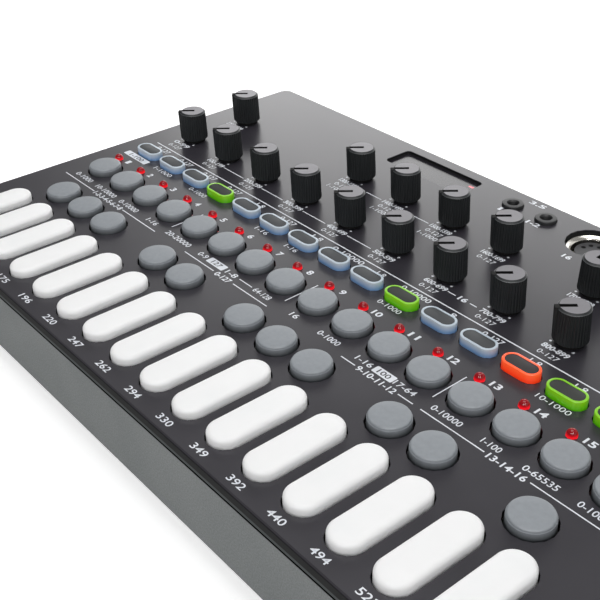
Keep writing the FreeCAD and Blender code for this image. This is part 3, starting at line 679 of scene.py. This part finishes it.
def pointer_groove(bm, centre, floor_z, angle):
    """Cuts a groove from the middle of the crown out through its edge."""
    along = Vector((cos(angle), sin(angle), 0))
    across = Vector((-sin(angle), cos(angle), 0))
    half = POINTER_WIDTH / 2
    cuts = [
        (centre + across * half, across),
        (centre - across * half, across),
        (centre - along * half, along),
        (Vector((0, 0, floor_z)), Vector((0, 0, 1))),
    ]
    for point, normal in cuts:
        faces = [
            face for face in bm.faces
            if max(vert.co.z for vert in face.verts) > floor_z + MERGE
        ]
        edges = {edge for face in faces for edge in face.edges}
        verts = {vert for face in faces for vert in face.verts}
        bmesh.ops.bisect_plane(
            bm, geom=[*verts, *edges, *faces], dist=MERGE / 10, plane_co=point, plane_no=normal
        )

    def in_groove(face, margin):
        arm = face.calc_center_median() - centre
        return abs(arm.dot(across)) < half + margin and arm.dot(along) > -half - margin

    strip = [
        face for face in bm.faces
        if min(vert.co.z for vert in face.verts) > floor_z - MERGE and in_groove(face, 0)
    ]
    made = bmesh.ops.extrude_face_region(bm, geom=strip)["geom"]
    bmesh.ops.delete(bm, geom=strip, context="FACES")
    for item in made:
        if isinstance(item, bmesh.types.BMVert):
            item.co.z = floor_z
    # the groove's floor and walls are painted black as shade
    for face in bm.faces:
        if face.calc_center_median().z > floor_z - MERGE and in_groove(face, MERGE):
            face.material_index = SHADE_BLACK


def pointer_fin(bm, centre, radii, levels, angle):
    """Fin down the skirt: it stands out at its top and meets the skirt at its foot."""
    made = bmesh.ops.create_cube(bm, size=FIN_WIDTH)["verts"]
    for vert in made:
        upper = vert.co.z > 0
        outside = radii[1] + (FIN_REACH if upper else 0)
        vert.co.x = outside if vert.co.x > 0 else radii[0]
        vert.co.z = levels[upper]
    edges = {edge for vert in made for edge in vert.link_edges}
    outer = [edge for edge in edges if min(end.co.x for end in edge.verts) > radii[0] + MERGE]
    rotated(bm, made, angle)
    bmesh.ops.translate(bm, verts=made, vec=(centre.x, centre.y, 0))
    # the fin's top is painted black as shade, like the groove
    for face in {face for vert in made for face in vert.link_faces}:
        if face.calc_center_median().z > levels[1] - MERGE:
            face.material_index = SHADE_BLACK
    bevelled(bm, outer, FIN_ROUNDING, 2)


for i in range(12):
    knob("knob_front_%d" % (i + 1), AT_REST)
for i in range(6):
    knob("knob_back_%d" % (i + 1), MIDWAY if i == 5 else AT_REST)


# Sockets, switch, feet and screws


def audio_sockets():
    """Black collars with a countersunk bore, on their round housings."""
    low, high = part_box("jack_sockets")
    bore, collar, housing = 1.8 * MM, 3.9 * MM, 4.4 * MM
    bore_end = high.z - 14 * MM
    ledge_z = panel_z - 2.9 * MM
    bm = bmesh.new()
    for i in range(5):
        place = mounts["audio_socket_%d" % (i + 1)]
        turned(bm, [
            (0, bore_end), (bore, bore_end), (bore, high.z - 0.8 * MM),
            (2.1 * MM, high.z - 0.25 * MM), (2.3 * MM, high.z),
            *rounded_corner(collar, high.z, 0.3 * MM)[::-1],
            (collar, ledge_z), (housing, ledge_z), (housing, low.z), (0, low.z),
        ], place.x, place.y)
    place_piece(
        bm, "audio_socket_collars", "case", [socket_black], ["jack_sockets"]
    )


def five_pin_rings():
    """Pressed nickel flange that dips towards the bore."""
    low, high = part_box("midi_shells")
    bore, shell, flange = 7.2 * MM, 8.0 * MM, 9.1 * MM
    flange_foot = high.z - 0.8 * MM
    bm = bmesh.new()
    for i in range(2):
        place = mounts["five_pin_socket_%d" % (i + 1)]
        turned(bm, [
            (bore, low.z), (bore, high.z - 1.0 * MM), (7.4 * MM, high.z - 0.75 * MM),
            (8.5 * MM, high.z - 0.05 * MM), (8.7 * MM, high.z), (9.0 * MM, high.z),
            (flange, high.z - 0.1 * MM), (flange, flange_foot), (shell, flange_foot),
            (shell, low.z), (bore, low.z),
        ], place.x, place.y, 96)
    place_piece(bm, "five_pin_rings", "case", [nickel], ["midi_shells"])


def circle_edges(bm, radius, steps, place):
    """Edges of a circle round a place."""
    made = bmesh.ops.create_circle(bm, segments=steps, radius=radius)["verts"]
    bmesh.ops.translate(bm, verts=made, vec=place)
    return {edge for vert in made for edge in vert.link_edges}


def five_pin_inserts():
    """Grey island with five pin holes in an arc, brass contacts in them, and a round base."""
    low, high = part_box("midi_inserts")
    island, base, arc = 6.0 * MM, 7.1 * MM, 3.75 * MM
    contact, bore, contact_end = 0.8 * MM, 0.45 * MM, high.z - 5 * MM
    depth = 7 * MM
    bm = bmesh.new()
    contacts = bmesh.new()
    for i in range(2):
        place = mounts["five_pin_socket_%d" % (i + 1)]
        edges = circle_edges(bm, island, ROUND_STEPS, (place.x, place.y, high.z))
        for pin in range(5):
            a = radians((pin - 2) * 45 + 90)
            x = place.x + arc * cos(a)
            y = place.y + arc * sin(a)
            edges |= circle_edges(bm, 0.85 * MM, 20, (x, y, high.z))
            turned(contacts, [
                (bore, contact_end), (bore, high.z - 1.6 * MM), (contact, high.z - 1.3 * MM),
                (contact, contact_end), (bore, contact_end),
            ], x, y, 20)
        filled = bmesh.ops.triangle_fill(bm, use_beauty=True, edges=list(edges))["geom"]
        top = [item for item in filled if isinstance(item, bmesh.types.BMFace)]
        drawn_out(bm, top, -depth)
        turned(bm, [
            (0, low.z), (base, low.z), (base, high.z - 8 * MM), (island, high.z - 8 * MM),
            (island, high.z - depth), (0, high.z - depth),
        ], place.x, place.y)
    place_piece(bm, "five_pin_inserts", "case", [socket_grey], ["midi_inserts"])
    place_piece(contacts, "five_pin_contacts", "case", [dull_brass])


def power_inlet():
    """Round barrel with a centre pin, facing back, on its housing."""
    low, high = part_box("power_inlet")
    middle = (low + high) / 2
    bore, barrel, pin = 2.75 * MM, 4.0 * MM, 1.0 * MM
    bore_end, barrel_end, pin_tip = -9 * MM, -9.5 * MM, -2.2 * MM
    bm = bmesh.new()
    turned(bm, [
        (0, bore_end), (bore, bore_end), (bore, -0.4 * MM), (3.05 * MM, 0),
        *rounded_corner(barrel, 0, 0.35 * MM)[::-1], (barrel, barrel_end), (0, barrel_end),
    ], 0, 0)
    turned(bm, [
        (0, bore_end), (pin, bore_end), *rounded_corner(pin, pin_tip, 0.4 * MM), (0, pin_tip),
    ], 0, 0, 32)
    rotated(bm, bm.verts, -pi / 2, "X")
    bmesh.ops.translate(bm, verts=bm.verts, vec=(middle.x, high.y, middle.z))
    bar(bm, low.x, high.x, low.y, high.y - 9.6 * MM, low.z, high.z, 0.4 * MM)
    place_piece(bm, "power_inlet_barrel", "case", [socket_black], ["power_inlet"])


def switch_slider():
    """Slider knob with four grip ridges."""
    node = "power_switch_slider"
    low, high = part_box(node)
    half, margin = 0.28 * MM, 0.2 * MM
    bm = bmesh.new()
    bar(bm, low.x, high.x, low.y, high.y - 0.5 * MM, low.z, high.z, 0.15 * MM)
    for i in range(4):
        x = low.x + (high.x - low.x) * (i + 0.5) / 4
        bar(
            bm, x - half, x + half, high.y - 0.7 * MM, high.y, low.z + margin, high.z - margin,
            0.1 * MM,
        )
    place_piece(bm, "power_switch_grip", node, [black_nylon], [node])


def four_corners(low, high, radius):
    """Places of four round pieces that together fill a box."""
    return [
        (x, y)
        for x in (low.x + radius, high.x - radius)
        for y in (low.y + radius, high.y - radius)
    ]


def rubber_feet():
    """Rubber discs with a shallow dish below."""
    low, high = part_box("rubber_feet")
    radius = 7.0 * MM
    dish_z = low.z + 0.3 * MM
    bm = bmesh.new()
    for x, y in four_corners(low, high, radius):
        turned(bm, [
            (0, dish_z), (4.6 * MM, dish_z), (4.9 * MM, low.z), (6.3 * MM, low.z),
            (6.8 * MM, dish_z), (radius, low.z + 1.0 * MM), (radius, high.z), (0, high.z),
        ], x, y)
    place_piece(bm, "rubber_foot_discs", "case", [foot_rubber], ["rubber_feet"])


def case_screws():
    """Pan-head screws with a cross recess, seen from below."""
    low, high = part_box("case_screws")
    radius, shank = 2.4 * MM, 1.25 * MM
    head_z = low.z + 1.4 * MM
    reach, half = 1.3 * MM, 0.25 * MM
    cross_z = low.z + 0.5 * MM
    bm = bmesh.new()
    for x, y in four_corners(low, high, radius):
        turned(bm, [
            (0, low.z + 0.05 * MM), (1.6 * MM, low.z + 0.05 * MM), (2.2 * MM, low.z + 0.3 * MM),
            (radius, low.z + 0.7 * MM), (radius, head_z), (shank, head_z), (shank, high.z),
            (0, high.z),
        ], x, y, 32)
        old = set(bm.faces)
        bar(bm, x - reach, x + reach, y - half, y + half, low.z, cross_z)
        bar(bm, x - half, x + half, y - reach, y + reach, low.z, cross_z)
        # the cross recess is painted black as shade
        give_new(bm, old, 1)
    place_piece(
        bm, "case_screw_heads", "case", [black_screw, painted_shade_black], ["case_screws"]
    )


def door_grip():
    """Raised ridges that the thumb pushes to open the battery door."""
    low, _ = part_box("battery_door")
    reach, half = 4.5 * MM, 0.3 * MM
    foot_z, top_z = low.z - 0.3 * MM, low.z + 0.2 * MM
    bm = bmesh.new()
    for i in range(5):
        y = low.y + (1.6 + 1.3 * i) * MM
        bar(bm, -reach, reach, y - half, y + half, foot_z, top_z, 0.12 * MM)
    place_piece(bm, "battery_door_ridges", "battery_door", [grey_case])


audio_sockets()
five_pin_rings()
five_pin_inserts()
power_inlet()
switch_slider()
rubber_feet()
case_screws()
door_grip()


def display_digit():
    """The display's last digit: the three lit bars of a seven in the face of the window."""
    low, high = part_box("display_window")
    half_height, half_width, thick = 3.0 * MM, 2.0 * MM, 1.2 * MM
    x = high.x - 4.4 * MM
    y = (low.y + high.y) / 2
    back_z, front_z = high.z - 0.1 * MM, high.z + 0.02 * MM
    gap = 0.7 * thick
    bars = (
        (x, y + half_height, half_width - gap, thick / 2),
        (x + half_width, y + half_height / 2, thick / 2, half_height / 2 - gap),
        (x + half_width, y - half_height / 2, thick / 2, half_height / 2 - gap),
    )
    bm = bmesh.new()
    for cx, cy, dx, dy in bars:
        bar(bm, cx - dx, cx + dx, cy - dy, cy + dy, back_z, front_z)
    place_piece(bm, "display_segments", "case", [segment_lit])


display_digit()


# White print on the panel: plain numbers, dots and lines. Places, widths and heights are in
# millimetres, from the first column and from the row of step buttons.

COLUMN_PITCH = 16.0
KNOB_PITCH = 24.0

# Rows of print, from the front to the back
PITCH_ROW = -67.2
BRACKET_ROW = -12.6
RANGE_ROW = -9.3
DIVIDER_ROW = 0.5
STEP_ROW = 10.4
BEFORE_PILLS = 15.8
BEHIND_PILLS = 27.0
LONG_LINE_ROW = 29.3
FRONT_KNOBS = 42.35
BETWEEN_KNOBS = 56.3
BACK_KNOBS = 69.35
SOCKET_ROW = 89.8

# Text, place in its row and width
STEP_RANGES = (
    ("0-1000", 0.0, 10.8), ("10-10000", 16.0, 13.0), ("0-10000", 32.0, 11.7),
    ("1-16", 48.0, 6.0), ("20-20000", 64.5, 14.0), ("0-9", 79.5, 4.4), ("1-8", 95.6, 5.3),
    ("64-128", 111.8, 8.0), ("16", 128.0, 3.3), ("0-1000", 144.1, 9.2), ("1-16", 159.7, 6.5),
    ("17-64", 176.2, 8.1), ("0-10000", 192.1, 10.7), ("1-100", 207.9, 6.3),
    ("0-65535", 224.0, 11.0), ("0-1000", 240.0, 9.0),
)
PILL_RANGES = (
    ("1-1000", 16.5, 11.0), ("0-1000", 40.0, 9.8), ("1-16", 79.2, 6.5), ("1-16", 95.5, 6.0),
    ("0-1000", 143.6, 9.8), ("10-1000", 207.5, 11.5),
)
# Text with its width, and the ends of the line on each side of it
BRACKETS = (
    ("1-2-3-4-5-6-7-8", 18.5, -8.7, 13.0, 33.0, 54.7), ("0-127", 7.7, 73.3, 90.0, 100.7, 118.3),
    ("9-10-11-12", 15.5, 153.3, 159.3, 176.8, 182.6),
    ("13-14-16", 12.6, 185.5, 208.4, 223.4, 246.5),
)
# Ends and row of the lines between the knobs
KNOB_LINES = (
    (29.5, 42.0, 35.7), (53.5, 66.0, 35.7), (77.5, 90.0, 35.7), (101.6, 113.6, 35.7),
    (149.4, 152.8, 35.7), (158.8, 161.6, 35.7), (82.0, 90.0, 62.8), (107.0, 114.0, 62.8),
)
# Text, place and width
SOCKET_NUMBERS = (
    ("3.5", 130.5, 102.0, 7.0), ("1", 123.4, SOCKET_ROW, 1.2), ("1-2", 138.5, SOCKET_ROW, 5.6),
    ("16", 160.6, 80.5, 3.4), ("16", 184.6, 80.5, 3.4), ("3", 206.2, SOCKET_ROW, 1.9),
    ("4", 221.2, SOCKET_ROW, 1.9), ("5", 236.2, SOCKET_ROW, 1.9),
)


def on_panel(x, y, lift=PRINT_LIFT):
    return Vector((columns[0] + x * MM, step_y + y * MM, panel_z + lift))


def lettering(text, height, width, bold):
    """Flat lettering about the origin, drawn out to a width."""
    curve = bpy.data.curves.new("lettering", "FONT")
    curve.body = text
    curve.align_x = "CENTER"
    curve.align_y = "CENTER"
    curve.offset = bold
    curve.resolution_u = 3
    holder = bpy.data.objects.new("lettering", curve)
    mesh = bpy.data.meshes.new_from_object(holder)
    bpy.data.objects.remove(holder)
    bpy.data.curves.remove(curve)
    across = [vert.co.x for vert in mesh.vertices]
    up = [vert.co.y for vert in mesh.vertices]
    middle = Vector((max(across) + min(across), max(up) + min(up), 0)) / 2
    mesh.transform(Matrix.Translation(-middle))
    scale_x = width / (max(across) - min(across))
    scale_y = height / (max(up) - min(up))
    mesh.transform(Matrix.Diagonal((scale_x, scale_y, 1, 1)))
    return mesh


def printed(bm, text, x, y, width, height=2.3, bold=0.01, lift=PRINT_LIFT, material=0):
    """Adds lettering, centred on a place."""
    mesh = lettering(text, height * MM, width * MM, bold)
    mesh.transform(Matrix.Translation(on_panel(x, y, lift)))
    old = set(bm.faces)
    bm.from_mesh(mesh)
    bpy.data.meshes.remove(mesh)
    give_new(bm, old, material)


def block(bm, x, y, width, height):
    """Printed rectangle; its width and height are in metres."""
    made = bmesh.ops.create_grid(bm, x_segments=1, y_segments=1, size=0.5)["verts"]
    bmesh.ops.scale(bm, verts=made, vec=(width, height, 1))
    bmesh.ops.translate(bm, verts=made, vec=on_panel(x, y))
    return made


def line(bm, x0, x1, y, width=LINE_WIDTH):
    """Printed line across the panel."""
    block(bm, (x0 + x1) / 2, y, (x1 - x0) * MM, width)


def dot(bm, x, y):
    made = bmesh.ops.create_circle(bm, cap_ends=True, segments=20, radius=DOT_RADIUS)["verts"]
    bmesh.ops.translate(bm, verts=made, vec=on_panel(x, y))


def number_box(bm, text, x, y, width, text_width):
    """White box with rounded corners and a number left dark in it."""
    made = block(bm, x, y, width * MM, BOX_HEIGHT)
    bevelled(bm, made, BOX_ROUNDING, 4, "VERTICES")
    printed(bm, text, x, y, text_width, 2.0, 0.012, 2 * PRINT_LIFT, 1)


def key_print(bm):
    """The pitch of each white key in hertz, in whole numbers."""
    pitches = (131, 147, 165, 175, 196, 220, 247, 262, 294, 330, 349, 392, 440, 494, 523, 587)
    for i, hertz in enumerate(pitches):
        printed(bm, str(hertz), COLUMN_PITCH * i, PITCH_ROW, 6.2, 2.4)


def step_print(bm):
    """Numbers behind the step buttons; ranges, brackets and dividers in front of them."""
    for i in range(16):
        width = 1.9 if i < 2 else 2.1 if i < 9 else 3.7
        printed(bm, str(i + 1), COLUMN_PITCH * i, STEP_ROW, width, 2.6, 0.03)
    for text, x, width in STEP_RANGES:
        printed(bm, text, x, RANGE_ROW, width)
    number_box(bm, "127", 87.2, RANGE_ROW + 0.1, 8.9, 4.8)
    number_box(bm, "100", 167.8, RANGE_ROW + 0.1, 8.0, 4.8)
    number_box(bm, "1-100", -1.6, 15.3, 15.2, 9.0)
    line(bm, 99.8, 106.5, RANGE_ROW)
    for text, width, x0, x1, x2, x3 in BRACKETS:
        line(bm, x0, x1, BRACKET_ROW)
        printed(bm, text, (x1 + x2) / 2, BRACKET_ROW - 0.1, width, 2.4, 0.02)
        line(bm, x2, x3, BRACKET_ROW)
    for x in (55.8, 119.6, 183.9):
        block(bm, x, DIVIDER_ROW, LINE_WIDTH, DIVIDER_LENGTH)


def pill_print(bm):
    """Ranges before and behind the pill buttons, and the long line behind them."""
    line(bm, -8.0, 246.0, LONG_LINE_ROW, LONG_LINE_WIDTH)
    for i, width in enumerate((8, 8, 8, 8, 4, 8, 5, 15, 3.5, 12.5, 2, 8, 4, 4, 4, 4)):
        text = "0-10000" if width > 10 else "0-127" if width > 6 else "1-8" if width > 2 else "8"
        printed(bm, text, COLUMN_PITCH * i, BEHIND_PILLS, width)
    for text, x, width in PILL_RANGES:
        printed(bm, text, x, BEFORE_PILLS, width, 2.1, 0.0)


def knob_print(bm):
    """Two scale dots and two rows of numbers in front of each knob, and lines between them."""
    knobs = [(KNOB_PITCH * i, FRONT_KNOBS) for i in range(12)]
    knobs += [(KNOB_PITCH * i, BACK_KNOBS) for i in (0, 3, 4, 5, 6, 7.5)]
    for number, (x, y) in enumerate(knobs):
        for side in (-1, 1):
            dot(bm, x + side * 4.13, y - 3.65)
        text = "%d-%d" % (100 * number, 100 * number + 99)
        printed(bm, text, x, y - 6.5, 9.6, 2.4, 0.035)
        printed(bm, "0-127", x, y - 9.9, 7.4, 2.1, 0.0)
    for i in (3, 4, 5):
        printed(bm, "1-1000", KNOB_PITCH * i, BETWEEN_KNOBS, 8.8, 2.1, 0.0)
    for x0, x1, y in KNOB_LINES:
        line(bm, x0, x1, y)
    printed(bm, "16", 155.8, 35.8, 3.4, 2.4, 0.035)


def socket_print(bm):
    """Numbers beside the sockets."""
    for text, x, y, width in SOCKET_NUMBERS:
        printed(bm, text, x, y, width, 2.4, 0.03)


def panel_print():
    bm = bmesh.new()
    for rows in (key_print, step_print, pill_print, knob_print, socket_print):
        rows(bm)
    place_piece(bm, "panel_print", "case", [white_ink, dark_ink])


panel_print()


# The finish of the solids, by the start of their nodes' names

SOLID_FINISHES = (
    (panel_lacquer, "top_panel"),
    (grey_case, "bottom_case", "battery_door"),
    (solder_mask, "main_board", "socket_board"),
    (keypad_silicone, "keypad_sheet"),
    (white_silicone, "white_key"),
    (grey_silicone, "grey_keys", "step_buttons", "transport_buttons"),
    (pill_clear, "pills_clear"),
    (pill_green, "pills_green"),
    (pill_red, "pills_red"),
    (red_lens, "step_lamps"),
    (knob_black, "knob"),
    (window_smoke, "display_window"),
    (black_nylon, "potentiometers", "display_module", "power_switch_slider"),
    (socket_black, "jack_sockets", "power_inlet"),
    (nickel, "midi_shells"),
    (socket_grey, "midi_inserts"),
    (tinned_steel, "power_switch_body"),
    (speaker_paint, "speaker"),
    (spring_steel, "battery_contacts"),
    (foot_rubber, "rubber_feet"),
    (black_screw, "case_screws"),
)


def finish_solids():
    for finish, *starts in SOLID_FINISHES:
        for node in frame["nodes"]:
            if node.startswith(tuple(starts)):
                for material_slot in bpy.data.objects[node].material_slots:
                    material_slot.material = finish


finish_solids()


# Floor, light and camera


def studio_floor():
    """White paper that reads white to the camera, whiter with distance, and keeps the shadow."""
    bm = bmesh.new()
    bmesh.ops.create_grid(bm, x_segments=1, y_segments=1, size=8.0)
    mesh = bpy.data.meshes.new("floor")
    bm.to_mesh(mesh)
    bm.free()
    floor = bpy.data.objects.new("floor", mesh)
    scene.collection.objects.link(floor)
    material, tree, place = start_material("white_paper")
    fibre = add_node(tree, "TexNoise", {"Scale": 1 / (3 * MM)}, {"Vector": place})
    tone = add_node(tree, "ValToRGB", {}, {"Fac": fibre}, ((0.3, "#E6E6E6"), (0.7, "#ECECEC")))
    paper = add_node(tree, "BsdfDiffuse", {}, {"Color": tone})
    distance = add_node(tree, "VectorMath", {}, {0: place}, operation="LENGTH").outputs["Value"]
    near_to_far = {"From Min": 0.6, "From Max": 2.2, "To Min": 0.6, "To Max": 1.0}
    lift = add_node(tree, "MapRange", near_to_far, {"Value": distance})
    glow = add_node(tree, "Emission", {}, {"Strength": lift})
    lit = add_node(tree, "AddShader", {}, {0: paper, 1: glow})
    camera_ray = add_node(tree, "LightPath").outputs["Is Camera Ray"]
    seen = add_node(tree, "MixShader", {}, {0: camera_ray, 1: paper, 2: lit})
    add_node(tree, "OutputMaterial", {}, {"Surface": seen})
    mesh.materials.append(material)


def studio_world():
    """White all round to the camera, and dim to the rest.

    What shines or is clear also shows a white backdrop, low at the back left.
    """
    world = bpy.data.worlds.new("studio")
    world.use_nodes = True
    tree = world.node_tree
    tree.nodes.clear()
    direction = add_node(tree, "TexCoord").outputs["Generated"]
    across = add_node(
        tree, "VectorMath", {1: (0.438, 0.899, 0.0)}, {0: direction}, operation="DOT_PRODUCT"
    ).outputs["Value"]
    up = add_node(tree, "SeparateXYZ", {}, {"Vector": direction}).outputs["Z"]
    past_left_edge = add_node(
        tree, "MapRange", {"From Min": -0.03, "From Max": 0.03}, {"Value": across}
    )
    below_top_edge = add_node(tree, "MapRange", {"From Min": 0.6, "From Max": 0.52}, {"Value": up})
    backdrop = add_node(
        tree, "Math", {}, {0: past_left_edge, 1: below_top_edge}, operation="MULTIPLY"
    )
    ray = add_node(tree, "LightPath").outputs
    mirrored = add_node(
        tree, "Math", {}, {0: ray["Is Glossy Ray"], 1: ray["Is Transmission Ray"]},
        operation="MAXIMUM",
    )
    in_backdrop = add_node(tree, "Math", {}, {0: mirrored, 1: backdrop}, operation="MULTIPLY")
    white_part = add_node(
        tree, "Math", {}, {0: ray["Is Camera Ray"], 1: in_backdrop}, operation="MAXIMUM"
    )
    soft = add_node(tree, "Background", {"Color": (1, 1, 1, 1), "Strength": 0.3})
    white = add_node(tree, "Background", {"Color": (1, 1, 1, 1), "Strength": 1.0})
    seen = add_node(tree, "MixShader", {}, {0: white_part, 1: soft, 2: white})
    add_node(tree, "OutputWorld", {}, {"Surface": seen})
    scene.world = world


def soft_box(name, place, target, size, power, shine_only=False):
    """Studio light; one that gives shine only shows in what is glossy and lights nothing."""
    lamp = bpy.data.lights.new(name, "AREA")
    lamp.shape = "RECTANGLE"
    lamp.size = size[0]
    lamp.size_y = size[1]
    lamp.energy = power
    holder = bpy.data.objects.new(name, lamp)
    holder.location = place
    aim = Vector(target) - Vector(place)
    holder.rotation_euler = aim.to_track_quat("-Z", "Y").to_euler()
    holder.visible_camera = False
    holder.visible_diffuse = not shine_only
    scene.collection.objects.link(holder)


def catch_light(name, place):
    """Small light that shows as a highlight in the lamps and on the buttons' edges."""
    soft_box(name, place, (0.06, 0, 0.04), (0.15, 0.15), 1.5, shine_only=True)


def camera():
    """Stands in front of the right end and looks left, back and down, as the photograph does."""
    right = Vector((0.6361, 0.7713, -0.0215))
    down = Vector((0.4078, -0.3597, -0.8392))
    forward = Vector((-0.6550, 0.5251, -0.5433))
    place = Vector((207.4, -192.8, 214.7)) * MM
    lens = bpy.data.cameras.new("camera")
    lens.sensor_width = 36.0
    lens.lens = 63.1
    lens.clip_start = 0.01
    holder = bpy.data.objects.new("camera", lens)
    turn = Matrix((right, -down, -forward)).transposed().to_4x4()
    holder.matrix_world = Matrix.Translation(place) @ turn
    scene.collection.objects.link(holder)
    scene.camera = holder


studio_floor()
studio_world()
soft_box("overhead_light", (-0.05, 0.1, 1.0), (0, 0, 0), (0.8, 0.6), 5.6)
soft_box("back_light", (-0.75, 1.2, 0.4), (0, 0, 0.03), (1.5, 0.7), 8.5)
soft_box("front_light", (0.75, -0.9, 0.5), (0, 0, 0.03), (1.2, 0.8), 5.5)
catch_light("left_catch_light", (0.18, -0.439, 0.432))
catch_light("right_catch_light", (0.452, -0.168, 0.462))
camera()
scene.view_settings.view_transform = "Standard"
